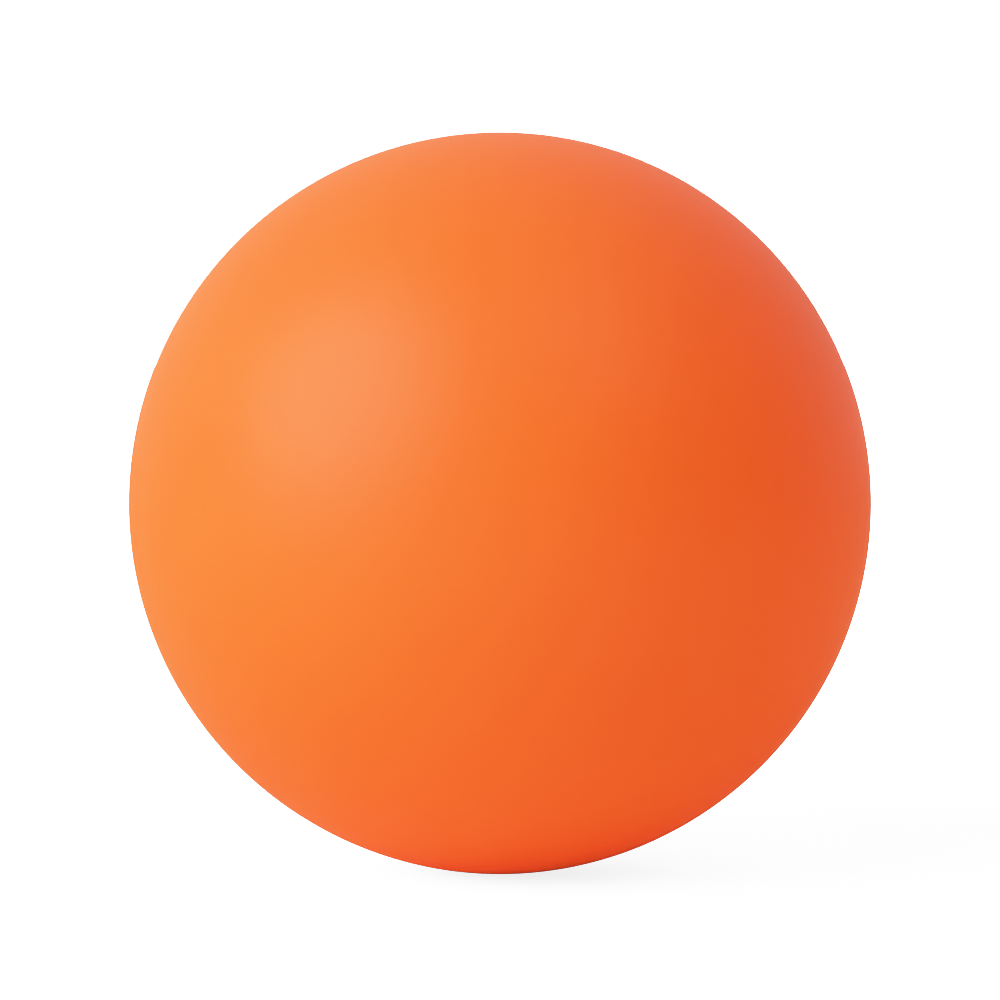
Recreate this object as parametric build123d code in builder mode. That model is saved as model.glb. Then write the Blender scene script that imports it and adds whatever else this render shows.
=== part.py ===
from build123d import *
import os

# A smooth golf ball, as used for putting and minigolf: a solid rubber centre inside an
# outer core, an ionomer casing, a cover and a coat of satin lacquer. The centre and the
# lacquer are whole. Each layer between them is moulded as two halves, which close around
# what is inside them. The origin is the ball's centre, +Z is up, and sizes are millimetres.

os.makedirs("parts", exist_ok=True)

# Driving dimensions
BALL_DIAMETER = 42.7
LACQUER_THICKNESS = 0.12
COVER_THICKNESS = 0.63
CASING_THICKNESS = 0.9
OUTER_CORE_THICKNESS = 7.0

# The key: a ring on the upper cup's rim that seats in a groove in the lower cup's rim.
# It narrows towards its crest, so that the cup leaves its mould.
KEY_WIDTH_AT_RIM = 3.0
KEY_WIDTH_AT_CREST = 2.2
KEY_HEIGHT = 1.2

# Radii of the spheres where the layers meet, from the outside in
ball_radius = BALL_DIAMETER / 2
cover_radius = ball_radius - LACQUER_THICKNESS
casing_radius = cover_radius - COVER_THICKNESS
outer_core_radius = casing_radius - CASING_THICKNESS
inner_core_radius = outer_core_radius - OUTER_CORE_THICKNESS

# The key runs round the middle of the cups' rims
key_radius = (outer_core_radius + inner_core_radius) / 2

# The axis of each half starts at the ball's centre, square to its seam, and points at the
# half's pole. The casing is a quarter turn from its neighbours, so that no seam lies on
# another.
CENTRE = (0, 0, 0)
UP = Axis(CENTRE, (0, 0, 1))
DOWN = Axis(CENTRE, (0, 0, -1))
LEFT = Axis(CENTRE, (-1, 0, 0))
RIGHT = Axis(CENTRE, (1, 0, 0))


def section_plane(pole):
    """The plane that a half's section is drawn on: its Y runs out along the half's axis."""
    return Plane(origin=CENTRE, x_dir=(0, 1, 0), z_dir=Vector(0, 1, 0).cross(pole.direction))


def wall_section(pole, outer_radius, inner_radius):
    """Section of one half of a round layer, from its flat seam to its pole."""
    with BuildSketch(section_plane(pole)) as section:
        with BuildLine():
            outside = CenterArc((0, 0), outer_radius, 0, 90)
            inside = CenterArc((0, 0), inner_radius, 0, 90)
            Line(inside @ 0, outside @ 0)
            Line(inside @ 1, outside @ 1)
        make_face()
    return section.sketch.face()


def key_section():
    """Section of the key, which hangs from the seam between the two cups."""
    with BuildSketch(section_plane(UP)) as section:
        with BuildLine():
            Polyline(
                (key_radius - KEY_WIDTH_AT_RIM / 2, 0),
                (key_radius - KEY_WIDTH_AT_CREST / 2, -KEY_HEIGHT),
                (key_radius + KEY_WIDTH_AT_CREST / 2, -KEY_HEIGHT),
                (key_radius + KEY_WIDTH_AT_RIM / 2, 0),
                close=True,
            )
        make_face()
    return section.sketch.face()


# Inner core: the solid rubber centre
with BuildPart() as inner_core:
    Sphere(inner_core_radius)

# Outer core: two rubber cups that key together round their rims
with BuildPart() as outer_core_upper_cup:
    revolve(wall_section(UP, outer_core_radius, inner_core_radius), axis=UP)
    revolve(key_section(), axis=UP)

with BuildPart() as outer_core_lower_cup:
    revolve(wall_section(DOWN, outer_core_radius, inner_core_radius), axis=DOWN)
    revolve(key_section(), axis=UP, mode=Mode.SUBTRACT)

# Casing: two thin ionomer halves
with BuildPart() as casing_left_half:
    revolve(wall_section(LEFT, casing_radius, outer_core_radius), axis=LEFT)

with BuildPart() as casing_right_half:
    revolve(wall_section(RIGHT, casing_radius, outer_core_radius), axis=RIGHT)

# Cover: two halves whose seam is buffed flush before the ball is lacquered
with BuildPart() as cover_upper_half:
    revolve(wall_section(UP, cover_radius, casing_radius), axis=UP)

with BuildPart() as cover_lower_half:
    revolve(wall_section(DOWN, cover_radius, casing_radius), axis=DOWN)

# Lacquer: one sprayed coat with no seam
with BuildPart() as lacquer_coat:
    Sphere(ball_radius)
    Sphere(cover_radius, mode=Mode.SUBTRACT)

pieces = {
    "inner_core": inner_core,
    "outer_core_upper_cup": outer_core_upper_cup,
    "outer_core_lower_cup": outer_core_lower_cup,
    "casing_left_half": casing_left_half,
    "casing_right_half": casing_right_half,
    "cover_upper_half": cover_upper_half,
    "cover_lower_half": cover_lower_half,
    "lacquer_coat": lacquer_coat,
}

for name, piece in pieces.items():
    piece.part.label = name
    export_step(piece.part, f"parts/{name}.step")
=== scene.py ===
import math

import bmesh
import bpy
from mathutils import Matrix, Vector


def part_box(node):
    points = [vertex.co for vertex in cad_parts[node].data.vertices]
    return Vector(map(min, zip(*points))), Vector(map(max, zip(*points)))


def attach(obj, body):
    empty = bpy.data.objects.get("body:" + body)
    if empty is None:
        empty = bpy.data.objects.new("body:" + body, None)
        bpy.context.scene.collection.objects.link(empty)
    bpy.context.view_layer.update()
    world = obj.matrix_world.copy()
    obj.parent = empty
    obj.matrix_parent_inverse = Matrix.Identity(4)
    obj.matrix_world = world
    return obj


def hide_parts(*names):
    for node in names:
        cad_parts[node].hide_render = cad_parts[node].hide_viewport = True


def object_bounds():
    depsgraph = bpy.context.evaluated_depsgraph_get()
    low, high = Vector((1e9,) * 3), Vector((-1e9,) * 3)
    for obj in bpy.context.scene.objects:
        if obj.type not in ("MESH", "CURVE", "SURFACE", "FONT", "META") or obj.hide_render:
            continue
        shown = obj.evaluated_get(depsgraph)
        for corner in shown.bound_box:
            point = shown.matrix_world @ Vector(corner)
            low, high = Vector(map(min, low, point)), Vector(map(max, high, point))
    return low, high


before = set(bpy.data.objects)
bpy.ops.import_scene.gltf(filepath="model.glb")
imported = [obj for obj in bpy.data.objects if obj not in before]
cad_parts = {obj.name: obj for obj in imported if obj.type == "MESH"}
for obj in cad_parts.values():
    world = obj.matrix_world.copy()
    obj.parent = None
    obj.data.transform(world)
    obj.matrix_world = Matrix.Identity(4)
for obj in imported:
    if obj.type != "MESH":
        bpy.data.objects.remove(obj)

# A smooth golf ball in satin orange lacquer. The layers inside it are the CAD's own
# pieces with finished materials. The lacquer coat is rebuilt as a finer shell, so that
# its outline and its highlight stay smooth close up. All lengths are metres.

CAD_LOW, CAD_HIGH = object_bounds()

MM = 0.001
LACQUER_THICKNESS = 0.12 * MM
LACQUER_GRID = 64        # faces along each edge of the cube that the shell is rounded from
BALL_RADIUS = (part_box("lacquer_coat")[1][2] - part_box("lacquer_coat")[0][2]) / 2
FLOOR_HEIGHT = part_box("lacquer_coat")[0][2]

# Colours are linear RGB
LACQUER_ORANGE = (0.90, 0.106, 0.015)
COVER_ORANGE = (0.78, 0.16, 0.035)
CASING_WHITE = (0.80, 0.79, 0.74)
OUTER_CORE_CREAM = (0.55, 0.50, 0.36)
INNER_CORE_TEAL = (0.05, 0.17, 0.20)
REGRIND_CREAM = (0.50, 0.46, 0.35)
PAPER_CREAM = (0.87, 0.80, 0.55)
PAPER_PAINTED_GLOW = (1.0, 0.9, 0.6)
WHITE = (1.0, 1.0, 1.0)

# Most of a noise lies between these, so colours and numbers are spread over this range
NOISE_LOW = 0.3
NOISE_HIGH = 0.7


# ---------------------------------------------------------------- material helpers

def blank_material(name):
    """A new material, with its node tree and its one shader."""
    material = bpy.data.materials.new(name)
    material.use_nodes = True
    tree = material.node_tree
    return material, tree, tree.nodes["Principled BSDF"]


def object_noise(tree, scale, detail):
    """Noise in the object's own coordinates, so that it doesn't depend on UVs."""
    place = tree.nodes.new("ShaderNodeTexCoord")
    noise = tree.nodes.new("ShaderNodeTexNoise")
    noise.inputs["Scale"].default_value = scale
    noise.inputs["Detail"].default_value = detail
    tree.links.new(place.outputs["Object"], noise.inputs["Vector"])
    return noise.outputs["Fac"]


def object_flecks(tree, spacing, size):
    """1 inside scattered round flecks of about this size, and 0 between them."""
    place = tree.nodes.new("ShaderNodeTexCoord")
    cells = tree.nodes.new("ShaderNodeTexVoronoi")
    cells.inputs["Scale"].default_value = 1 / spacing
    # A fleck's edge is soft: it fades out between 0.4 and 0.6 of its size from its centre
    inside = tree.nodes.new("ShaderNodeMapRange")
    inside.inputs["From Min"].default_value = 0.4 * size / spacing
    inside.inputs["From Max"].default_value = 0.6 * size / spacing
    inside.inputs["To Min"].default_value = 1.0
    inside.inputs["To Max"].default_value = 0.0
    tree.links.new(place.outputs["Object"], cells.inputs["Vector"])
    tree.links.new(cells.outputs["Distance"], inside.inputs["Value"])
    return inside.outputs["Result"]


def colour_between(tree, noise, low, high):
    """A colour that goes from low to high over the range of the noise."""
    ramp = tree.nodes.new("ShaderNodeValToRGB")
    ramp.color_ramp.elements[0].position = NOISE_LOW
    ramp.color_ramp.elements[0].color = (*low, 1)
    ramp.color_ramp.elements[1].position = NOISE_HIGH
    ramp.color_ramp.elements[1].color = (*high, 1)
    tree.links.new(noise, ramp.inputs["Fac"])
    return ramp.outputs["Color"]


def number_between(tree, noise, low, high):
    """A number that goes from low to high over the range of the noise."""
    span = tree.nodes.new("ShaderNodeMapRange")
    span.inputs["From Min"].default_value = NOISE_LOW
    span.inputs["From Max"].default_value = NOISE_HIGH
    span.inputs["To Min"].default_value = low
    span.inputs["To Max"].default_value = high
    tree.links.new(noise, span.inputs["Value"])
    return span.outputs["Result"]


def mixed(tree, amount, below, above):
    """The first colour where amount is 0 and the second where it is 1."""
    mix = tree.nodes.new("ShaderNodeMix")
    mix.data_type = "RGBA"
    tree.links.new(amount, mix.inputs["Factor"])
    tree.links.new(below, mix.inputs["A"])
    mix.inputs["B"].default_value = (*above, 1)
    return mix.outputs["Result"]


def bumped(tree, height, depth):
    """A surface normal for relief that stands depth high where height is 1."""
    node = tree.nodes.new("ShaderNodeBump")
    node.inputs["Strength"].default_value = 1.0
    node.inputs["Distance"].default_value = depth
    tree.links.new(height, node.inputs["Height"])
    return node.outputs["Normal"]


def shade(colour, factor):
    return tuple(channel * factor for channel in colour)


# ---------------------------------------------------------------- materials

def satin_lacquer():
    """Orange pigment that lies almost evenly, under a satin gloss with faint orange peel."""
    material, tree, shader = blank_material("satin_orange_lacquer")
    cloud = object_noise(tree, scale=90.0, detail=2.0)
    colour = colour_between(
        tree, cloud, shade(LACQUER_ORANGE, 0.985), shade(LACQUER_ORANGE, 1.015)
    )
    peel_noise = object_noise(tree, scale=1500.0, detail=3.0)
    orange_peel = bumped(tree, peel_noise, depth=0.0004 * MM)
    tree.links.new(colour, shader.inputs["Base Color"])
    tree.links.new(orange_peel, shader.inputs["Normal"])
    # All the gloss is the clear satin top of the coat, which the coat sockets hold
    coat_weight = number_between(tree, cloud, low=0.31, high=0.33)
    tree.links.new(coat_weight, shader.inputs["Coat Weight"])
    tree.links.new(orange_peel, shader.inputs["Coat Normal"])
    shader.inputs["Coat Roughness"].default_value = 0.43
    shader.inputs["Specular IOR Level"].default_value = 0.0
    return material


def cover_plastic():
    """Moulded pigmented ionomer, with faint flow marks and a fine mould texture."""
    material, tree, shader = blank_material("cover_plastic")
    flow = object_noise(tree, scale=220.0, detail=4.0)
    colour = colour_between(tree, flow, shade(COVER_ORANGE, 0.93), shade(COVER_ORANGE, 1.05))
    tree.links.new(colour, shader.inputs["Base Color"])
    roughness = number_between(tree, flow, low=0.34, high=0.42)
    tree.links.new(roughness, shader.inputs["Roughness"])
    texture = bumped(tree, object_noise(tree, scale=2600.0, detail=4.0), depth=0.002 * MM)
    tree.links.new(texture, shader.inputs["Normal"])
    return material


def casing_ionomer():
    """Milky ionomer: even, slightly clouded and a little waxy."""
    material, tree, shader = blank_material("casing_ionomer")
    cloud = object_noise(tree, scale=140.0, detail=3.0)
    colour = colour_between(tree, cloud, shade(CASING_WHITE, 0.94), shade(CASING_WHITE, 1.03))
    tree.links.new(colour, shader.inputs["Base Color"])
    roughness = number_between(tree, cloud, low=0.38, high=0.48)
    tree.links.new(roughness, shader.inputs["Roughness"])
    texture = bumped(tree, object_noise(tree, scale=1800.0, detail=3.0), depth=0.002 * MM)
    tree.links.new(texture, shader.inputs["Normal"])
    return material


def outer_core_rubber():
    """Pressed rubber, mottled and matt, with fine filler grain."""
    material, tree, shader = blank_material("outer_core_rubber")
    mottle = object_noise(tree, scale=420.0, detail=6.0)
    colour = colour_between(
        tree, mottle, shade(OUTER_CORE_CREAM, 0.84), shade(OUTER_CORE_CREAM, 1.1)
    )
    tree.links.new(colour, shader.inputs["Base Color"])
    roughness = number_between(tree, mottle, low=0.58, high=0.72)
    tree.links.new(roughness, shader.inputs["Roughness"])
    grain = bumped(tree, object_noise(tree, scale=3500.0, detail=5.0), depth=0.008 * MM)
    tree.links.new(grain, shader.inputs["Normal"])
    return material


def inner_core_rubber():
    """Dark pressed rubber, speckled with crumbs of reground cream rubber."""
    material, tree, shader = blank_material("inner_core_rubber")
    mottle = object_noise(tree, scale=500.0, detail=5.0)
    ground = colour_between(
        tree, mottle, shade(INNER_CORE_TEAL, 0.8), shade(INNER_CORE_TEAL, 1.2)
    )
    crumbs = object_flecks(tree, spacing=1.6 * MM, size=0.5 * MM)
    tree.links.new(mixed(tree, crumbs, ground, REGRIND_CREAM), shader.inputs["Base Color"])
    roughness = number_between(tree, mottle, low=0.60, high=0.74)
    tree.links.new(roughness, shader.inputs["Roughness"])
    grain = bumped(tree, object_noise(tree, scale=3000.0, detail=5.0), depth=0.01 * MM)
    tree.links.new(grain, shader.inputs["Normal"])
    return material


def finish_layers():
    """Gives the CAD's inner layers their materials. The shapes stay the CAD's own."""
    layers = {
        cover_plastic(): ["cover_upper_half", "cover_lower_half"],
        casing_ionomer(): ["casing_left_half", "casing_right_half"],
        outer_core_rubber(): ["outer_core_upper_cup", "outer_core_lower_cup"],
        inner_core_rubber(): ["inner_core"],
    }
    for material, names in layers.items():
        for name in names:
            for material_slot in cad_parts[name].material_slots:
                material_slot.material = material


# ---------------------------------------------------------------- the lacquer shell

def ball_grid(shell, radius, steps, outward):
    """Adds a round surface to the shell, made from a cube's six faces blown up to a ball."""
    corners = [-1 + 2 * i / steps for i in range(steps + 1)]
    points = {}

    def point(x, y, z):
        # Neighbouring faces of the cube share the points along their edges
        key = (round(x, 9), round(y, 9), round(z, 9))
        if key not in points:
            # Equal angles, not equal steps, or the faces shrink towards the cube's corners
            even = Vector(math.tan(c * math.pi / 4) for c in (x, y, z))
            points[key] = shell.verts.new(even.normalized() * radius)
        return points[key]

    for axis in range(3):
        for side in (-1, 1):
            for i in range(steps):
                for j in range(steps):
                    ring = []
                    for a, b in ((i, j), (i + 1, j), (i + 1, j + 1), (i, j + 1)):
                        place = [corners[a], corners[b]]
                        place.insert(axis, side)
                        ring.append(point(*place))
                    face = shell.faces.new(ring)
                    face.smooth = True
                    face.normal_update()
                    if (face.normal.dot(face.calc_center_median()) > 0) != outward:
                        face.normal_flip()


def lacquer_skin():
    """The coat as a thin closed shell: its outside, and the inside that lies on the cover."""
    shell = bmesh.new()
    ball_grid(shell, BALL_RADIUS, LACQUER_GRID, outward=True)
    ball_grid(shell, BALL_RADIUS - LACQUER_THICKNESS, LACQUER_GRID, outward=False)
    mesh = bpy.data.meshes.new("lacquer_skin")
    shell.to_mesh(mesh)
    shell.free()
    mesh.materials.append(satin_lacquer())
    skin = bpy.data.objects.new("lacquer_skin", mesh)
    bpy.context.collection.objects.link(skin)
    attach(skin, "root")
    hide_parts("lacquer_coat")


# ---------------------------------------------------------------- studio

def aim(thing, target):
    """Turns a light or camera to look at the target."""
    thing.rotation_euler = (target - thing.location).to_track_quat("-Z", "Y").to_euler()


def direction(azimuth, elevation):
    """A unit vector. Azimuth 0 points at the camera, and 90 to its right, in degrees."""
    a, e = math.radians(azimuth), math.radians(elevation)
    return Vector((math.sin(a) * math.cos(e), -math.cos(a) * math.cos(e), math.sin(e)))


CENTRE = (CAD_LOW + CAD_HIGH) / 2
SENSOR = 36 * MM
LENS = 150 * MM
CAMERA_ELEVATION = 3.0
OUTLINE_SHARE = 0.742     # of the picture's width, that the ball's outline takes
BALL_DROP = 0.003         # of the picture's height, that the ball sits below the middle
FLOOR_HALF_WIDTH = 1.5
SOFTBOX_DISTANCE = 0.9
DOME_DARK_EDGE = math.cos(math.radians(120))     # dark past 120 degrees from straight behind


def camera():
    data = bpy.data.cameras.new("camera")
    data.lens = LENS / MM
    data.sensor_width = SENSOR / MM
    cam = bpy.data.objects.new("camera", data)
    bpy.context.collection.objects.link(cam)
    spread = math.atan(OUTLINE_SHARE / 2 * SENSOR / LENS)
    distance = BALL_RADIUS / math.sin(spread)
    cam.location = CENTRE + direction(0, CAMERA_ELEVATION) * distance
    aim(cam, CENTRE)
    cam.rotation_euler.x += math.atan(BALL_DROP * SENSOR / LENS)
    bpy.context.scene.camera = cam


def softbox(name, azimuth, elevation, half_angle, radiance):
    """A round softbox that looks at the ball and spans half_angle each way as seen from it."""
    radius = SOFTBOX_DISTANCE * math.tan(math.radians(half_angle))
    data = bpy.data.lights.new(name, "AREA")
    data.shape = "DISK"
    data.size = 2 * radius
    # An area light's radiance is its power over pi times its area
    data.energy = radiance * math.pi * math.pi * radius ** 2
    light = bpy.data.objects.new(name, data)
    bpy.context.collection.objects.link(light)
    light.location = CENTRE + direction(azimuth, elevation) * SOFTBOX_DISTANCE
    aim(light, CENTRE)


def floor(glow, glow_edge):
    """A plain sheet of pale paper. Round the ball the paper itself glows a little, with no
    lamp
    beneath it: a painted glow, strongest under the ball and gone at the given edge distance
    from the ball's centre. It lights the ball's underside and thins the ball's shadow. The
    sheet shows as the white backdrop, less the ball's shadow."""
    mesh = bpy.data.meshes.new("floor")
    corners = [
        (side_x * FLOOR_HALF_WIDTH, side_y * FLOOR_HALF_WIDTH, FLOOR_HEIGHT)
        for side_x, side_y in ((-1, -1), (1, -1), (1, 1), (-1, 1))
    ]
    mesh.from_pydata(corners, [], [(0, 1, 2, 3)])
    material, tree, shader = blank_material("floor_paper")
    shader.inputs["Base Color"].default_value = (*PAPER_CREAM, 1)
    shader.inputs["Roughness"].default_value = 1.0
    shader.inputs["Specular IOR Level"].default_value = 0.0
    # Painted glow: the paper gives off light round the ball though no lamp is there, strongest
    # under the ball and fading with distance from the ball's centre
    shader.inputs["Emission Color"].default_value = (*PAPER_PAINTED_GLOW, 1)
    place = tree.nodes.new("ShaderNodeTexCoord")
    distance = tree.nodes.new("ShaderNodeVectorMath")
    distance.operation = "LENGTH"
    strength = tree.nodes.new("ShaderNodeMapRange")
    strength.interpolation_type = "SMOOTHSTEP"
    strength.inputs["From Min"].default_value = BALL_RADIUS
    strength.inputs["From Max"].default_value = glow_edge
    strength.inputs["To Min"].default_value = glow
    strength.inputs["To Max"].default_value = 0.0
    tree.links.new(place.outputs["Object"], distance.inputs[0])
    tree.links.new(distance.outputs["Value"], strength.inputs["Value"])
    tree.links.new(strength.outputs["Result"], shader.inputs["Emission Strength"])
    mesh.materials.append(material)
    sheet = bpy.data.objects.new("floor", mesh)
    bpy.context.collection.objects.link(sheet)
    sheet.is_shadow_catcher = True


def dome(behind, backdrop):
    """Soft light that grows from nothing in front of the ball to full strength straight behind
    it. The camera sees a plain white backdrop in its place. Behind and backdrop are their
    strengths."""
    world = bpy.data.worlds.new("dome")
    bpy.context.scene.world = world
    world.use_nodes = True
    tree = world.node_tree
    place = tree.nodes.new("ShaderNodeTexCoord")
    towards_back = tree.nodes.new("ShaderNodeVectorMath")
    towards_back.operation = "DOT_PRODUCT"
    towards_back.inputs[1].default_value = direction(180, 0)
    strength = tree.nodes.new("ShaderNodeMapRange")
    strength.interpolation_type = "SMOOTHSTEP"
    strength.inputs["From Min"].default_value = DOME_DARK_EDGE
    strength.inputs["From Max"].default_value = 1.0
    strength.inputs["To Min"].default_value = 0.0
    strength.inputs["To Max"].default_value = behind
    soft = tree.nodes["Background"]
    soft.inputs["Color"].default_value = (*WHITE, 1)
    white = tree.nodes.new("ShaderNodeBackground")
    white.inputs["Color"].default_value = (*WHITE, 1)
    white.inputs["Strength"].default_value = backdrop
    seen = tree.nodes.new("ShaderNodeLightPath")
    mix = tree.nodes.new("ShaderNodeMixShader")
    tree.links.new(place.outputs["Generated"], towards_back.inputs[0])
    tree.links.new(towards_back.outputs["Value"], strength.inputs["Value"])
    tree.links.new(strength.outputs["Result"], soft.inputs["Strength"])
    tree.links.new(seen.outputs["Is Camera Ray"], mix.inputs["Fac"])
    tree.links.new(soft.outputs["Background"], mix.inputs[1])
    tree.links.new(white.outputs["Background"], mix.inputs[2])
    tree.links.new(mix.outputs["Shader"], tree.nodes["World Output"].inputs["Surface"])


FILM_KNEE = 0.78                                 # the film is straight up to here
FILM_SOFTNESS = 0.73                             # how slowly it reaches white above the knee
FILM_SHOULDER = (1.0, 1.3, 1.7, 2.2, 2.9)        # amounts of light where the curve is set
FILM_END = 4.0


def film_tone(light):
    """The film's answer to an amount of light: 0 is black and 1 is white."""
    if light <= FILM_KNEE:
        return light
    return 1 - (1 - FILM_KNEE) * math.exp((FILM_KNEE - light) / FILM_SOFTNESS)


def film():
    """A camera's response: straight in the darker tones, with a soft shoulder to white."""
    scene = bpy.context.scene
    scene.display_settings.display_device = "sRGB"
    view = scene.view_settings
    view.view_transform = "Standard"
    view.look = "None"
    view.exposure = 0.0
    view.gamma = 1.0
    view.use_curve_mapping = True
    curves = view.curve_mapping
    curves.use_clip = True
    curves.clip_max_x = FILM_END
    # The fourth curve works on red, green and blue alike. It comes with points at 0 and 1,
    # and the second one becomes its end
    curve = curves.curves[3]
    curve.points[1].location = (FILM_END, 1.0)
    for light in (FILM_KNEE / 2, FILM_KNEE, *FILM_SHOULDER):
        curve.points.new(light, film_tone(light))
    for point in curve.points:
        point.handle_type = "AUTO_CLAMPED"
    curves.update()


finish_layers()
lacquer_skin()
camera()
softbox("key_softbox", azimuth=-56, elevation=30, half_angle=28, radiance=8.15)
softbox("fill_softbox", azimuth=40, elevation=50, half_angle=20, radiance=1.9)
floor(glow=0.17, glow_edge=35 * MM)
dome(behind=1.46, backdrop=6.0)
film()
